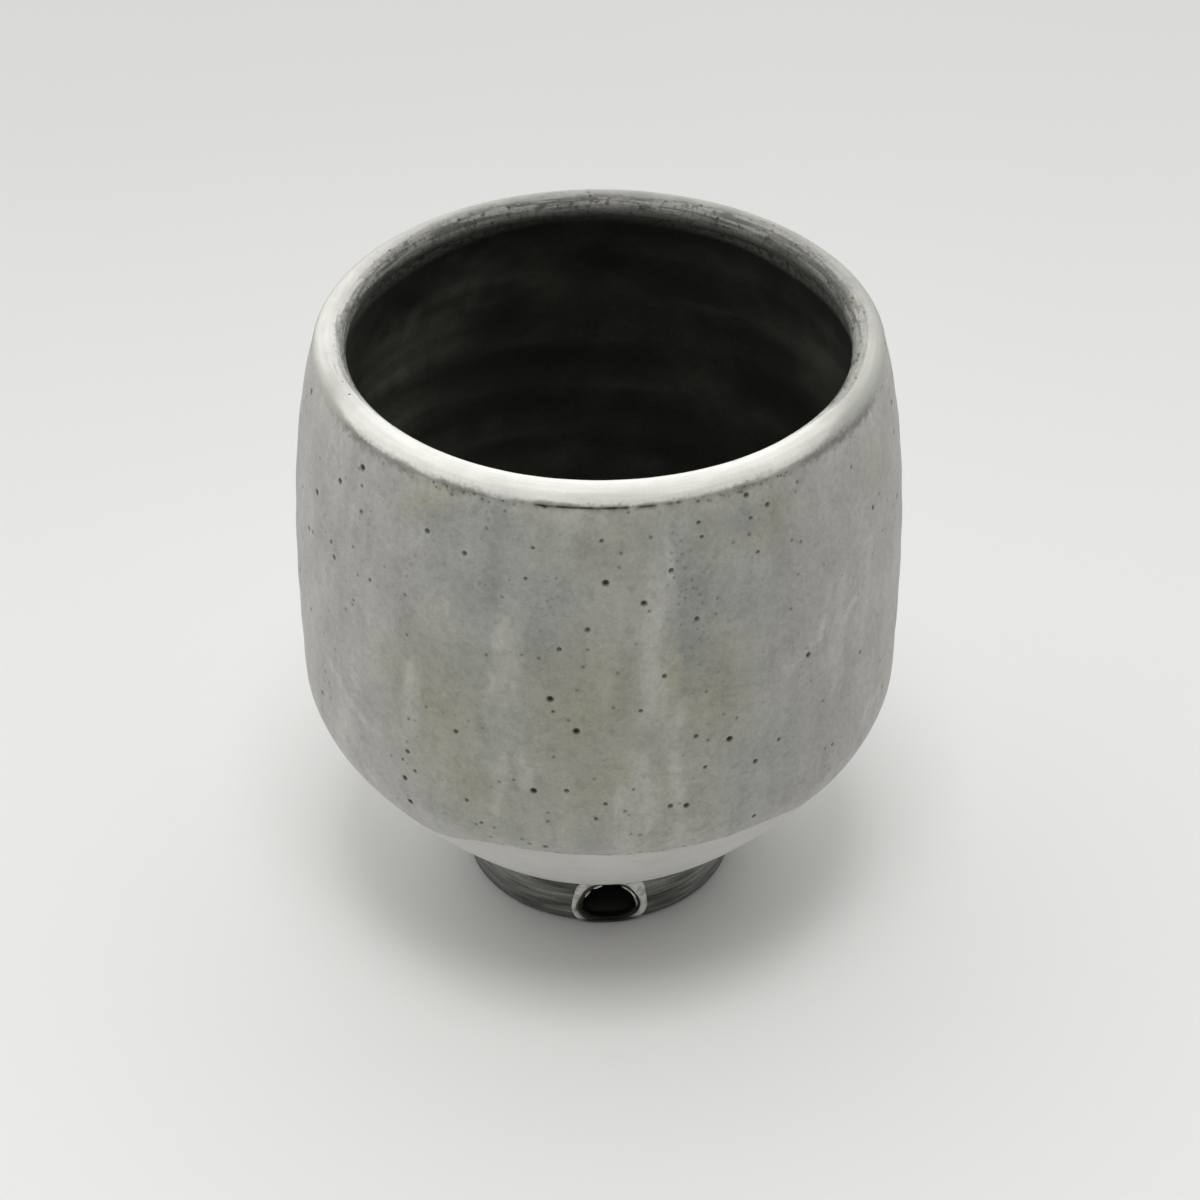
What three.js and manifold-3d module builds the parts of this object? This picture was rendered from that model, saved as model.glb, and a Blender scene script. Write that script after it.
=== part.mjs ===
// A footed stoneware wine cup: a thrown bowl luted to a turned foot ring, with its slip and glaze coats.
// Millimetres, +Z up. The origin is the middle of the foot, on the surface that the cup stands on.

import * as THREE from 'three';
import { mergeVertices } from 'three/addons/utils/BufferGeometryUtils.js';
import Module from 'manifold-3d';

const degrees = THREE.MathUtils.degToRad;

// Coats, each measured square to the clay
const collarSlipThickness = 0.3;
const wallGlazeThickness = 0.5;
const lipGlazeThickness = 0.5;
const linerGlazeThickness = 0.45;
const notchGlazeThickness = 0.5;
const lutingSlipThickness = 0.4;

// Bowl, over its coats
const cupHeight = 91.8;
const bellyRadius = 43;
const bellyHeight = 37.3;
const lipThickness = 4.7;
const lipMiddleRadius = 37;
const wallLeanAtLip = degrees(16);
const undersideAngle = degrees(20);
const glazeLineHeight = 32.5;

// Bowl, clay only
const wallThickness = 3.8;
const floorThickness = 5;
const floorFlatRadius = 8;

// How far each stretch of the outline swells before it turns, as the reach of its curve's handles
const undersideSwell = 5.5;
const lowerBellySwell = 7;
const upperBellySwell = 7.8;
const shoulderSwell = 18.2;
const innerShoulderSwell = 18;
const innerWallSwell = 8;
const innerBellySwell = 10;
const innerFloorSwell = 18;

// Foot ring
const footHeight = 8.8;
const footTopRadius = 20.4;
const footTaper = 0.4;
const footWallThickness = 4.8;
const footEdgeRadius = 0.8;

// Drain notch through the front wall of the foot: its mouth is bridged by a thin rim of clay, and its outer
// edge is flared, less over the bridge than round the sides and top
const notchTurn = degrees(4.3);
const notchHalfWidth = 3.8;
const notchWidestHeight = 2.5;
const notchTopHeight = 7.1;
const notchBridgeHeight = 0.75;
const notchFlare = 0.9;
const notchBridgeFlare = 0.35;
const notchFlareDepth = 1.4;

// Bead of glaze round the notch
const notchGlazeWidth = 0.9;
const notchGlazeBridgeWidth = 0.3;
const notchGlazeClearance = 0.05;

// Facets
const turnSegments = 48;
const collarSteps = 6;
const wallSteps = 8;
const lipSteps = 7;
const innerWallSteps = 6;
const innerFloorSteps = 7;
const footEdgeSteps = 3;
const notchCurveSteps = 5;
const shoulderCrowding = 1.5;
const heightSearchSteps = 50;
const weldDistance = 1e-5;
const cutOvershoot = 1;

// Handle length that makes a cubic curve follow a quarter of an ellipse
const quarterEllipse = 0.5523;

const wasm = await Module();
wasm.setup();

const point = (radius, height) => new THREE.Vector2(radius, height);
const raised = (from, rise) => point(from.x, from.y + rise);

// The clay's outline in stretches: underside, wall, lip, inner wall and floor
const bowlBase = footHeight + lutingSlipThickness;
const floorHeight = bowlBase + floorThickness;
const clayBellyRadius = bellyRadius - wallGlazeThickness;
const footBottomRadius = footTopRadius - footTaper;
const footInnerRadius = footBottomRadius - footWallThickness;
const lipRoundRadius = lipThickness / 2 - lipGlazeThickness;
const lipRoundHeight = cupHeight - lipThickness / 2;
const leanAlongWall = point(Math.sin(wallLeanAtLip), -Math.cos(wallLeanAtLip));

const footJoint = point(footTopRadius, bowlBase);
const belly = point(clayBellyRadius, bellyHeight);
const lipCrease = point(lipMiddleRadius + lipRoundRadius, lipRoundHeight);
const innerBelly = point(clayBellyRadius - wallThickness, bellyHeight);
const floorEdge = point(floorFlatRadius, floorHeight);

const undersideCurve = new THREE.CubicBezierCurve(
  footJoint,
  point(Math.cos(undersideAngle), Math.sin(undersideAngle)).multiplyScalar(undersideSwell).add(footJoint),
  raised(belly, -lowerBellySwell),
  belly,
);
const wallCurve = new THREE.CubicBezierCurve(
  belly,
  raised(belly, upperBellySwell),
  leanAlongWall.clone().multiplyScalar(shoulderSwell).add(lipCrease),
  lipCrease,
);
const lipCurve = new THREE.EllipseCurve(
  lipMiddleRadius, lipRoundHeight, lipRoundRadius, lipRoundRadius, 0, Math.PI + wallLeanAtLip,
);
const innerLip = lipCurve.getPoint(1);
const innerWallCurve = new THREE.CubicBezierCurve(
  innerLip,
  leanAlongWall.clone().multiplyScalar(innerShoulderSwell).add(innerLip),
  raised(innerBelly, innerWallSwell),
  innerBelly,
);
const innerFloorCurve = new THREE.CubicBezierCurve(
  innerBelly,
  raised(innerBelly, -innerBellySwell),
  point(floorFlatRadius + innerFloorSwell, floorHeight),
  floorEdge,
);

// A place on the outside, from 0 at the foot through 1 at the belly to 2 at the crease under the lip
function outsidePoint(place) {
  return place < 1 ? undersideCurve.getPoint(place) : wallCurve.getPoint(place - 1);
}

function outsidePlaceAtHeight(height) {
  let low = 0;
  let high = 2;
  for (let step = 0; step < heightSearchSteps; step += 1) {
    const middle = (low + high) / 2;
    if (outsidePoint(middle).y < height) low = middle;
    else high = middle;
  }
  return low;
}

// Points along the outside, up to the end of a stretch, closer at its start where crowding is over 1
function outsideStretch(from, to, steps, crowding) {
  const place = (step) => from + (to - from) * (step / steps) ** crowding;
  return Array.from({ length: steps }, (_, step) => outsidePoint(place(step)));
}

const glazeLinePlace = outsidePlaceAtHeight(glazeLineHeight);
const clay = [
  point(0, bowlBase),
  ...outsideStretch(0, glazeLinePlace, collarSteps, 1),
  ...outsideStretch(glazeLinePlace, 2, wallSteps, shoulderCrowding),
  ...lipCurve.getPoints(lipSteps),
  ...innerWallCurve.getPoints(innerWallSteps).slice(1),
  ...innerFloorCurve.getPoints(innerFloorSteps).slice(1),
  point(0, floorHeight),
];

// Where one coat gives way to the next along the clay
const collarStart = 1;
const wallStart = collarStart + collarSteps;
const lipStart = wallStart + wallSteps;
const linerStart = lipStart + lipSteps;
const linerEnd = clay.length - 1;

// The way out of the clay from one point of its outline to the next
function outward(from, to) {
  const along = to.clone().sub(from).normalize();
  return point(along.y, -along.x);
}

// A point of the outline moved out of the clay, mitred where the outline bends
function coated(index, thickness) {
  const here = clay[index];
  const before = outward(clay[Math.max(index - 1, 0)], clay[Math.max(index, 1)]);
  const after = outward(clay[Math.min(index, linerEnd - 1)], clay[Math.min(index + 1, linerEnd)]);
  const mitre = before.clone().add(after).normalize();
  return mitre.multiplyScalar(thickness / mitre.dot(before)).add(here);
}

// Turns a profile of radius and height round the cup's axis. It ends on the axis or closes on itself.
function turned(profile) {
  const onAxis = profile[0].x === 0;
  const points = onAxis ? profile : [...profile, profile[0].clone()];
  return new THREE.LatheGeometry(points, turnSegments).rotateX(Math.PI / 2);
}

// A coat of even thickness on one stretch of the clay
function coat(start, end, thickness) {
  const face = clay.slice(start, end + 1);
  const skin = face.map((_, index) => coated(start + index, thickness));
  return turned([...face.reverse(), ...skin]);
}

function solidFrom(geometry) {
  const bare = geometry.clone();
  bare.deleteAttribute('normal');
  bare.deleteAttribute('uv');
  const merged = mergeVertices(bare, weldDistance);
  return new wasm.Manifold(new wasm.Mesh({
    numProp: 3,
    vertProperties: Float32Array.from(merged.getAttribute('position').array),
    triVerts: Uint32Array.from(merged.index.array),
  }));
}

function geometryFrom(solid) {
  const mesh = solid.getMesh();
  const geometry = new THREE.BufferGeometry();
  geometry.setAttribute('position', new THREE.BufferAttribute(mesh.vertProperties, mesh.numProp));
  geometry.setIndex(new THREE.BufferAttribute(mesh.triVerts, 1));
  geometry.computeVertexNormals();
  return geometry;
}

// The notch seen from the front, as points from the top of its bridge round to there again. It can be made
// wider and taller, and reach lower into the bridge.
function notchOutline(growth, drop) {
  const wide = notchHalfWidth + growth;
  const top = notchTopHeight + growth;
  const bottom = notchBridgeHeight - drop;
  const middle = notchWidestHeight;
  const rise = (top - middle) * quarterEllipse;
  const fall = (middle - bottom) * quarterEllipse;
  return new THREE.Path()
    .moveTo(0, bottom)
    .bezierCurveTo(wide * quarterEllipse, bottom, wide, middle - fall, wide, middle)
    .bezierCurveTo(wide, middle + rise, wide * quarterEllipse, top, 0, top)
    .bezierCurveTo(-wide * quarterEllipse, top, -wide, middle + rise, -wide, middle)
    .bezierCurveTo(-wide, middle - fall, -wide * quarterEllipse, bottom, 0, bottom)
    .getPoints(notchCurveSteps)
    .slice(1);
}

// A closed solid through outlines of the notch, each at its own distance from the cup's axis
function notchSolid(sections) {
  const count = sections[0].outline.length;
  const last = (sections.length - 1) * count;
  const positions = sections.flatMap(({ distance, outline }) => outline.flatMap((p) => [p.x, -distance, p.y]));
  const index = [];
  for (const [a, b, c] of THREE.ShapeUtils.triangulateShape(sections[0].outline, [])) {
    index.push(a, c, b, last + a, last + b, last + c);
  }
  for (let corner = 0; corner < last; corner += 1) {
    const next = (corner + 1) % count === 0 ? corner + 1 - count : corner + 1;
    index.push(corner, next, next + count, corner, next + count, corner + count);
  }
  const geometry = new THREE.BufferGeometry();
  geometry.setAttribute('position', new THREE.Float32BufferAttribute(positions, 3));
  geometry.setIndex(index);
  return solidFrom(geometry.rotateZ(notchTurn));
}

// The whole depth of the foot's front wall behind one outline
function notchPrism(growth, drop) {
  const outline = notchOutline(growth, drop);
  return notchSolid([
    { distance: 0, outline },
    { distance: footTopRadius + notchGlazeThickness + cutOvershoot, outline },
  ]);
}

// The space of the notch: straight through the wall, then widening to the outer face
function notchSpace() {
  const face = footOuterRadius(notchWidestHeight);
  const narrow = notchOutline(0, 0);
  const flared = notchOutline(notchFlare, notchBridgeFlare);
  return notchSolid([
    { distance: 0, outline: narrow },
    { distance: face - notchFlareDepth, outline: narrow },
    { distance: face, outline: flared },
    { distance: footTopRadius + cutOvershoot, outline: flared },
  ]);
}

function footOuterRadius(height) {
  return THREE.MathUtils.mapLinear(height, footEdgeRadius, footHeight, footBottomRadius, footTopRadius);
}

function footRing() {
  const profile = new THREE.Path()
    .moveTo(footInnerRadius, footHeight)
    .absarc(footInnerRadius + footEdgeRadius, footEdgeRadius, footEdgeRadius, Math.PI, Math.PI * 1.5)
    .absarc(footBottomRadius - footEdgeRadius, footEdgeRadius, footEdgeRadius, Math.PI * 1.5, Math.PI * 2)
    .lineTo(footTopRadius, footHeight);
  const ring = solidFrom(turned(profile.getPoints(footEdgeSteps)));
  return geometryFrom(ring.subtract(notchSpace()));
}

function notchGlaze() {
  const low = notchGlazeClearance;
  const high = footHeight - notchGlazeClearance;
  const inner = (height) => footOuterRadius(height) + notchGlazeClearance;
  const outer = (height) => inner(height) + notchGlazeThickness;
  const skin = solidFrom(turned([
    point(inner(low), low),
    point(outer(low), low),
    point(outer(high), high),
    point(inner(high), high),
  ]));
  const edge = notchPrism(notchFlare, notchBridgeFlare);
  const bead = notchPrism(notchFlare + notchGlazeWidth, notchBridgeFlare + notchGlazeBridgeWidth);
  return geometryFrom(skin.intersect(bead).subtract(edge));
}

function lutingSlip() {
  return turned([
    point(footInnerRadius, footHeight),
    point(footTopRadius, footHeight),
    point(footTopRadius, bowlBase),
    point(footInnerRadius, bowlBase),
  ]);
}

const stoneware = new THREE.MeshStandardMaterial({ color: 0x2c2d2a, roughness: 0.6, metalness: 0 });
const slipClay = new THREE.MeshStandardMaterial({ color: 0x3a3935, roughness: 0.8, metalness: 0 });
const paleSlip = new THREE.MeshStandardMaterial({ color: 0xaaa8a4, roughness: 0.55, metalness: 0 });
const greyGlaze = new THREE.MeshStandardMaterial({ color: 0x92918d, roughness: 0.5, metalness: 0 });
const whiteGlaze = new THREE.MeshStandardMaterial({ color: 0xe4e3df, roughness: 0.35, metalness: 0 });
const charcoalGlaze = new THREE.MeshStandardMaterial({ color: 0x1d1e1b, roughness: 0.5, metalness: 0 });

function named(name, geometry, material) {
  const mesh = new THREE.Mesh(geometry, material);
  mesh.name = name;
  return mesh;
}

const wineCup = new THREE.Group();
wineCup.add(
  named('bowl', turned(clay), stoneware),
  named('foot_ring', footRing(), stoneware),
  named('luting_slip', lutingSlip(), slipClay),
  named('collar_slip', coat(collarStart, wallStart, collarSlipThickness), paleSlip),
  named('wall_glaze', coat(wallStart, lipStart, wallGlazeThickness), greyGlaze),
  named('lip_glaze', coat(lipStart, linerStart, lipGlazeThickness), whiteGlaze),
  named('liner_glaze', coat(linerStart, linerEnd, linerGlazeThickness), charcoalGlaze),
  named('notch_glaze', notchGlaze(), whiteGlaze),
);

export default wineCup;
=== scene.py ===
# A footed stoneware wine cup: its clay, slips and glazes as fine meshes with procedural finishes.
import math
import random

import bmesh
import bpy
import numpy as np
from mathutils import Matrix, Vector, kdtree, noise


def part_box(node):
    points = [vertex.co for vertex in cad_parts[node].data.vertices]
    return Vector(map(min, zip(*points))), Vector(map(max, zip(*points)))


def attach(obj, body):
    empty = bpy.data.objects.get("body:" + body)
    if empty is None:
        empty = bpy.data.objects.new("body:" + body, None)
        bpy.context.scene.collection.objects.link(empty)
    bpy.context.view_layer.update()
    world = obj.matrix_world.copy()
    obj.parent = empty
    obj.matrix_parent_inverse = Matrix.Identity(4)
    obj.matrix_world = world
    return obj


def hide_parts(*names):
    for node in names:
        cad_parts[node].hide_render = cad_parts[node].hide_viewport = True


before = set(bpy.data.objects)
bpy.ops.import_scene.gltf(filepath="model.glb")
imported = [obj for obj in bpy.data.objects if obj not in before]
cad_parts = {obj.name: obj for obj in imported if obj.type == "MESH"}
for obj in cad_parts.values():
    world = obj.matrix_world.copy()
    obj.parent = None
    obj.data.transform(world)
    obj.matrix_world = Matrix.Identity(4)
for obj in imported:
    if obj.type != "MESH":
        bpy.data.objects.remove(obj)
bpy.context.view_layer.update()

MM = 0.001


def corner(node, side):
    """The lowest (0) or highest (1) corner of a solid, in millimetres."""
    return np.array(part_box(node)[side]) / MM


# Sizes in millimetres, and two angles. The first ones come from the solids, and the others shape the clay.
CUP_TOP = corner("lip_glaze", 1)[2]
LIP_OUTER_RADIUS = corner("lip_glaze", 1)[0]
BOWL_BASE = corner("bowl", 0)[2]
FOOT_TOP = corner("foot_ring", 1)[2]
FOOT_TOP_RADIUS = corner("foot_ring", 1)[0]
COLLAR_COAT = 0.3
WALL_COAT = 0.5
LIP_COAT = 0.5
LINER_COAT = 0.45
BELLY_RADIUS = 43
BELLY_HEIGHT = 37.3
LIP_THICKNESS = 4.7
WALL_LEAN = math.radians(16)
UNDERSIDE_ANGLE = math.radians(20)
WALL_THICKNESS = 3.8
FLOOR_THICKNESS = 5
FLOOR_FLAT_RADIUS = 8
UNDERSIDE_SWELL = 5.5
LOWER_BELLY_SWELL = 7
UPPER_BELLY_SWELL = 7.8
SHOULDER_SWELL = 18.2
INNER_SHOULDER_SWELL = 18
INNER_WALL_SWELL = 8
INNER_BELLY_SWELL = 10
INNER_FLOOR_SWELL = 18
FOOT_TAPER = 0.4
FOOT_WALL = 4.8
FOOT_EDGE = 0.8
# How high the painted contact shadow on the foot's bottom edge reaches
FOOT_SHADOW_HEIGHT = 1.9

# The notch in the foot, in millimetres, with its turn to the right of the front in degrees
NOTCH_TURN = 4.3
NOTCH_HALF_WIDTH = 3.8
NOTCH_WIDEST_HEIGHT = 2.5
NOTCH_TOP = 7.1
NOTCH_BRIDGE = 0.75
NOTCH_FLARE = 0.9
NOTCH_BRIDGE_FLARE = 0.35
NOTCH_FLARE_DEPTH = 1.4
NOTCH_FLOOR_RISE = 2.1
NOTCH_CUT_START = 4
NOTCH_CUT_PAST = 4
# The share of a radius at which a cubic curve's pulls make a quarter of a circle
QUARTER_TURN = 0.5523

# The right half of the bead round the notch, from the middle of the bridge to the top: sideways, height,
# width, rise. The left half is a narrower mirror image, and both have painted shade at the bottom.
BEAD_HALF = [
    (0, 0.3, 0.4, 0.26), (2.3, 0.34, 0.42, 0.28), (3.7, 0.6, 0.6, 0.4), (4.75, 1.35, 0.9, 0.46),
    (5.25, 2.6, 1.0, 0.42), (5.15, 3.9, 1.15, 0.4), (4.75, 5.4, 1.45, 0.38), (4.1, 7.0, 1.9, 0.34),
    (2.9, 8.0, 1.5, 0.3), (1.4, 8.35, 1.0, 0.3), (0, 8.45, 0.8, 0.3),
]
BEAD_LEFT_SHARE = 0.68
# How high the painted shade on the bead's bottom reaches
BEAD_SHADE_TOP = 1.0
# Flecks of glaze on the notch's flare, each from end to end: sideways, height
FLECKS = [
    [(-3.6, 5.0), (-3.25, 5.7), (-2.8, 6.3)],
    [(-2.3, 6.8), (-1.7, 7.2), (-1.0, 7.45)],
    [(1.8, 7.1), (2.9, 6.1), (3.75, 4.8), (4.2, 3.2), (4.15, 2.2)],
    [(2.9, 7.0), (3.6, 6.1), (4.0, 5.3)],
]
FLECK_WIDTH = 0.36
FLECK_SINK = 0.16
FLECK_RISE = 0.16

# Relief in the coats and on the foot: heights, widths and pitches in millimetres
RUN_HEIGHT = 0.09
WAVE_HEIGHT = 0.035
WAVE_PITCH = 7.5
LIP_WOBBLE = 0.06
LIP_RIPPLE = 0.02
CREASE_DEPTH = 0.2
CREASE_WIDTH = 0.45
TURNING_HEIGHT = 0.02
TURNING_PITCH = 2.3
COLLAR_RIPPLE = 0.02
FINGER_HEIGHT = 0.07
FINGER_PITCH = 8.5
LINER_WOBBLE = 0.05
FOOT_LINE_HEIGHT = 0.05
# Unevenness of the wall's glaze, from broad to fine: amount, size, seed
WALL_NOISE = [(0.07, 34, 32), (0.02, 5, 33), (0.009, 1.5, 34)]
# Turning lines on the foot: spacing, drift in millimetres for each degree round, strength, seed
FOOT_LINES = [(0.75, 0.012, 1, 71), (0.35, 0.02, 0.6, 72)]

# Mesh steps: lengths in millimetres, and counts
OUTLINE_STEPS = 400
COLUMNS = 480
LINER_COLUMNS = 360
WALL_STEP = 0.56
WALL_CROWDING = 1.35
LIP_STEP = 0.16
LINER_STEP = 0.9
FOOT_COLUMNS = 240
FOOT_EDGE_STEPS = 7
FOOT_VOXEL = 0.2
FOOT_SOFTENING = 3
NOTCH_LEG_STEPS = 14
NOTCH_ARCH_STEPS = 18
NOTCH_FLARE_STEPS = 6
BEAD_SIDES = 14
BEAD_STEPS = 260
FLECK_STEPS = 40

# Glaze line: its height at the middle, how far it wanders and the collar's slip reaches above it, and how the
# glaze thins towards it
GLAZE_LINE = 32.5
GLAZE_LINE_WANDER = 0.55
COLLAR_TUCK = 2.5
GLAZE_EDGE_COAT = 0.36
GLAZE_EDGE_WIDTH = 2.4
# Where it dips: side (left is -1), depth, degrees between which the dip grows. Both end towards the back.
GLAZE_DIPS = [(-1, 6.0, 19, 42), (1, 3.5, 33, 52)]
GLAZE_DIPS_END = (100, 160)

# Pinholes that show most: degrees round from the front, height, radius
PINHOLES = [
    (-50.5, 86.3, 0.45), (-57, 81.9, 0.42), (-50, 83.8, 0.28), (-49.5, 80.1, 0.34), (-58.6, 71.7, 0.33),
    (-57.2, 69.8, 0.37), (-33, 82.4, 0.38), (-25, 81, 0.36), (-46, 70.8, 0.28), (-13.2, 79.2, 0.28),
    (-10.2, 89.6, 0.46), (-12, 83.7, 0.27), (0.5, 85.2, 0.29), (1.2, 79.3, 0.45), (8, 76.1, 0.42),
    (13, 80.4, 0.36), (18.6, 86.4, 0.30), (19, 84.4, 0.29), (17.6, 72.6, 0.36), (-2, 72.3, 0.37),
    (-7, 69.1, 0.34), (-8.6, 61, 0.47), (-8.1, 58.9, 0.26), (-4, 55.9, 0.47), (11.6, 64.4, 0.35),
    (7.4, 59.1, 0.30), (17.5, 53.5, 0.35), (24, 51.6, 0.46), (34.5, 48.3, 0.31), (40.8, 60.6, 0.41),
    (61.6, 75.9, 0.36), (29, 85.2, 0.29), (30, 80.1, 0.29), (28.6, 88.4, 0.38), (32.8, 86.2, 0.36),
    (-26.5, 52.2, 0.37), (-38.5, 39.8, 0.42), (-37.8, 35.6, 0.45), (-11.8, 44.8, 0.46), (-5.8, 45.4, 0.34),
    (1.2, 43.2, 0.32), (13, 41.9, 0.38), (16, 41.5, 0.42), (29.5, 46.1, 0.39), (30, 35.8, 0.36),
    (-10, 34.3, 0.40), (-13, 34.5, 0.32), (49, 41.3, 0.30), (56.4, 54.2, 0.30), (19.4, 47.7, 0.31),
    (6.2, 45.7, 0.26), (-22, 37, 0.27), (-0.5, 40.5, 0.30), (-37.5, 45, 0.38), (-36, 42, 0.30),
    (-38.8, 43, 0.26), (-24.8, 40.4, 0.31),
]
# Crater depth, the radius from which one is black, how smaller ones pale, the halo's reach in radii, and how
# far and how often the faces round it are cut
PINHOLE_DEPTH = 0.26
PINHOLE_BLACK = 0.46
PINHOLE_FADE = 1.6
PINHOLE_PALEST = 0.3
HALO_REACH = 2.3
PINHOLE_REFINED = 0.95
PINHOLE_CUTS = 4

# Pale runs of glaze: degrees round at the lower end, lean in degrees for each millimetre up, lower end,
# upper end, half width in degrees, strength
PALE_RUNS = [
    (-15.5, 0.0, 44, 80, 2.6, 0.55),
    (9.5, 0.06, 56, 71, 2.6, 0.8),
    (8.8, 0.14, 66, 88, 3.0, 0.85),
    (5.5, 0.1, 31, 47, 4.4, 1.5),
    (7, 0.08, 36, 53, 2.8, 1.4),
    (14.5, -0.05, 36, 60, 2.0, 1.1),
    (-36, 0.05, 49, 60, 2.2, 0.7),
    (-56, 0.2, 37, 55, 2.6, 0.9),
    (-48, -0.25, 36, 46, 2.4, 0.8),
    (48, 0.1, 50, 72, 2.2, 0.9),
    (56, 0.1, 56, 73, 2.0, 0.7),
    (41, 0.05, 62, 78, 1.6, 0.5),
    (-30, 0.0, 70, 78, 2.4, 0.4),
    (30, 0.05, 66, 86, 2.2, 0.35),
]
# Thin pale lines at the edges of runs, each from end to end: degrees round, height
PALE_LINES = [
    [(-65.5, 48.8), (-65.5, 46.6), (-64.5, 44.9)], [(-60.6, 50.5), (-56, 48.9), (-52.8, 47.2), (-48.5, 45.3)],
    [(-51.1, 39.1), (-49.4, 37.4), (-47.9, 35.7)], [(46.5, 70.1), (45.2, 66.3), (44.5, 63.6), (42.9, 61.9)],
    [(42.9, 61.9), (38.8, 61.3), (37, 59.6), (30.6, 61.3)], [(55, 64.8), (50.9, 63.2)],
    [(68, 41.4), (61.6, 41.9), (59.1, 39.5)], [(-36, 61.6), (-37.6, 55.8)], [(-18.9, 62.9), (-20.4, 60.6)],
    [(-15.4, 83.8), (-16.2, 78.6), (-16.5, 73.5), (-18.2, 67.7)], [(-16, 54.2), (-18, 48.7), (-19.1, 39.3)],
    [(15.1, 60.4), (13.8, 53.1), (14.3, 47.2), (15.1, 43.4)],
]
PALE_LINE_WIDTH = 0.62
# The sharp left edge of one dark run: degrees round at its foot, lean in degrees for each millimetre up,
# lower end, upper end, width in degrees, strength
DARK_EDGE = (14.8, -0.07, 61, 89, 8, 0.8)
# Olive clouds: degrees round, height, half width in degrees, half height, strength
OLIVE_CLOUDS = [
    (-31, 56, 11, 11, 0.8), (-26, 44, 10, 6, 0.7), (-3, 60, 11, 11, 0.9), (3, 47, 12, 8, 0.8),
    (17, 62, 8, 9, 0.9), (-33, 87, 7, 3, 1.0), (33, 84, 6, 4, 0.9), (20, 84, 6, 4, 0.5), (-2, 84, 8, 4, 0.4),
]
# Darker, cooler clouds, given the same way; the one at 36 degrees and 46 mm is painted shade on the lower
# right
DARK_CLOUDS = [
    (18, 78, 6, 9, 0.9), (27, 75, 7, 8, 0.5), (-22, 78, 10, 7, 0.6), (-7, 74, 6, 12, 0.6),
    (-28, 63, 8, 5, 0.4), (-22, 86, 9, 2.5, 0.6), (-12, 55, 5, 6, 0.4), (36, 46, 13, 9, 0.5),
    (-9, 85, 8, 3.2, 0.6), (-31, 85, 8, 2.5, 0.6), (29, 86, 9, 3, 0.6),
]
# Lighter smudges on the inside, given the same way: partly glaze smudges, partly painted light falling on the
# left of the inside
LINER_SMUDGES_AND_PAINTED_LIGHT = [
    (-128, 72, 18, 6, 0.9), (-108, 60, 28, 9, 0.9), (-85, 68, 26, 16, 1.0), (-150, 80, 12, 4, 0.6),
    (-60, 55, 30, 18, 0.8), (80, 66, 24, 12, 0.45), (120, 74, 14, 6, 0.35),
]

# Marks round the crease and the lip that fade to both sides: degrees round, half width in degrees, strength,
# and how steeply they fade
CREASE_LINE = [(0, 15, 1, 4), (26, 14, 0.4, 2), (-26, 10, 0.3, 2)]
CREASE_LINE_BACK = 0.35
CREASE_SPECKS = [(-26, 14, 1, 4), (30, 14, 0.8, 4)]
CREASE_SPECKS_ELSEWHERE = 0.35
CREASE_SMEAR = [(56, 18, 1.2, 2), (-52, 16, 0.8, 2), (28, 13, 0.5, 2), (-28, 13, 0.5, 2)]
CREASE_SMEAR_BACK = 0.6
LIP_WHITE_SIDES = [(-92, 44, 0.66, 2), (78, 28, 0.36, 2)]
LIP_WHITE_MIDDLE = -6
LIP_WHITE_SPAN = (40, 82)
LINER_WEAR_SIDES = [(-118, 35, 0.4, 2), (112, 35, 0.4, 2)]
LINER_WEAR_BACK = 0.3
LINER_WEAR_ALL = 0.3
# Degrees to both sides of the front between which the back begins, and the wall's glaze turns warmer
BACK_SPAN = (75, 100)
WARM_SPAN = (22, 46)

# Marks drawn for the sides and back, from a seeded generator: how many, and the ranges of their numbers
DRAW = random.Random(7)
BACK = (62, 298)
BACK_RUNS = 9
BACK_RUN = [(34, 60), BACK, (-0.1, 0.2), (10, 32), (1.8, 3.8), (0.4, 0.9)]
BACK_CLOUDS = 10
BACK_OLIVE_CLOUD = [BACK, (42, 86), (6, 12), (4, 11), (0.4, 0.9)]
BACK_DARK_CLOUD = [BACK, (50, 86), (5, 10), (4, 9), (0.3, 0.8)]
BACK_LINES = 8
BACK_LINE = [BACK, (38, 66)]
BACK_LINE_RISE = 7
BACK_LINE_BENDS = [(3, 4), (6, 0)]
BACK_PINHOLES = 95
BACK_PINHOLE = [BACK, (34, 88), (0.24, 0.44)]
# How far one seed moves the noise
SEED_STEP = (7.3, 3.1, 5.7)

# Camera, from the fitted view: millimetres, degrees
CAMERA_PLACE = (0.14, -370.5, 326.8)
CAMERA_TILT = 37.25
CAMERA_LENS = 96
CAMERA_SENSOR = 36
CAMERA_NEAR = 10

# Soft studio sky: its level, and how much it gains towards the right, the back and the top (a minus: loses)
SKY_LEVEL = 0.78
SKY_SLOPE = (-0.19, 0.74, 0)

# One soft square lamp, in millimetres and watts
LAMP_PLACE = (0, -250, 1300)
LAMP_TARGET = (0, 0, 50)
LAMP_SIZE = 500
LAMP_POWER = 6.1

# The pale table top, and where its slow change of colour from the front to the back starts and ends: painted
# shade, darker towards the back
TABLE_SIZE = 8000
TABLE_CELLS = 8
TABLE_FRONT = -110
TABLE_BACK = 300


def bezier(start, start_pull, end_pull, end, steps=OUTLINE_STEPS):
    """Points along a cubic curve, without its last one."""
    leave, arrive = np.add(start, start_pull), np.add(end, end_pull)
    start, end = np.array(start), np.array(end)
    t = np.linspace(0, 1, steps, endpoint=False)[:, None]
    return (1 - t) ** 3 * start + 3 * (1 - t) ** 2 * t * leave + 3 * (1 - t) * t ** 2 * arrive + t ** 3 * end


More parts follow.
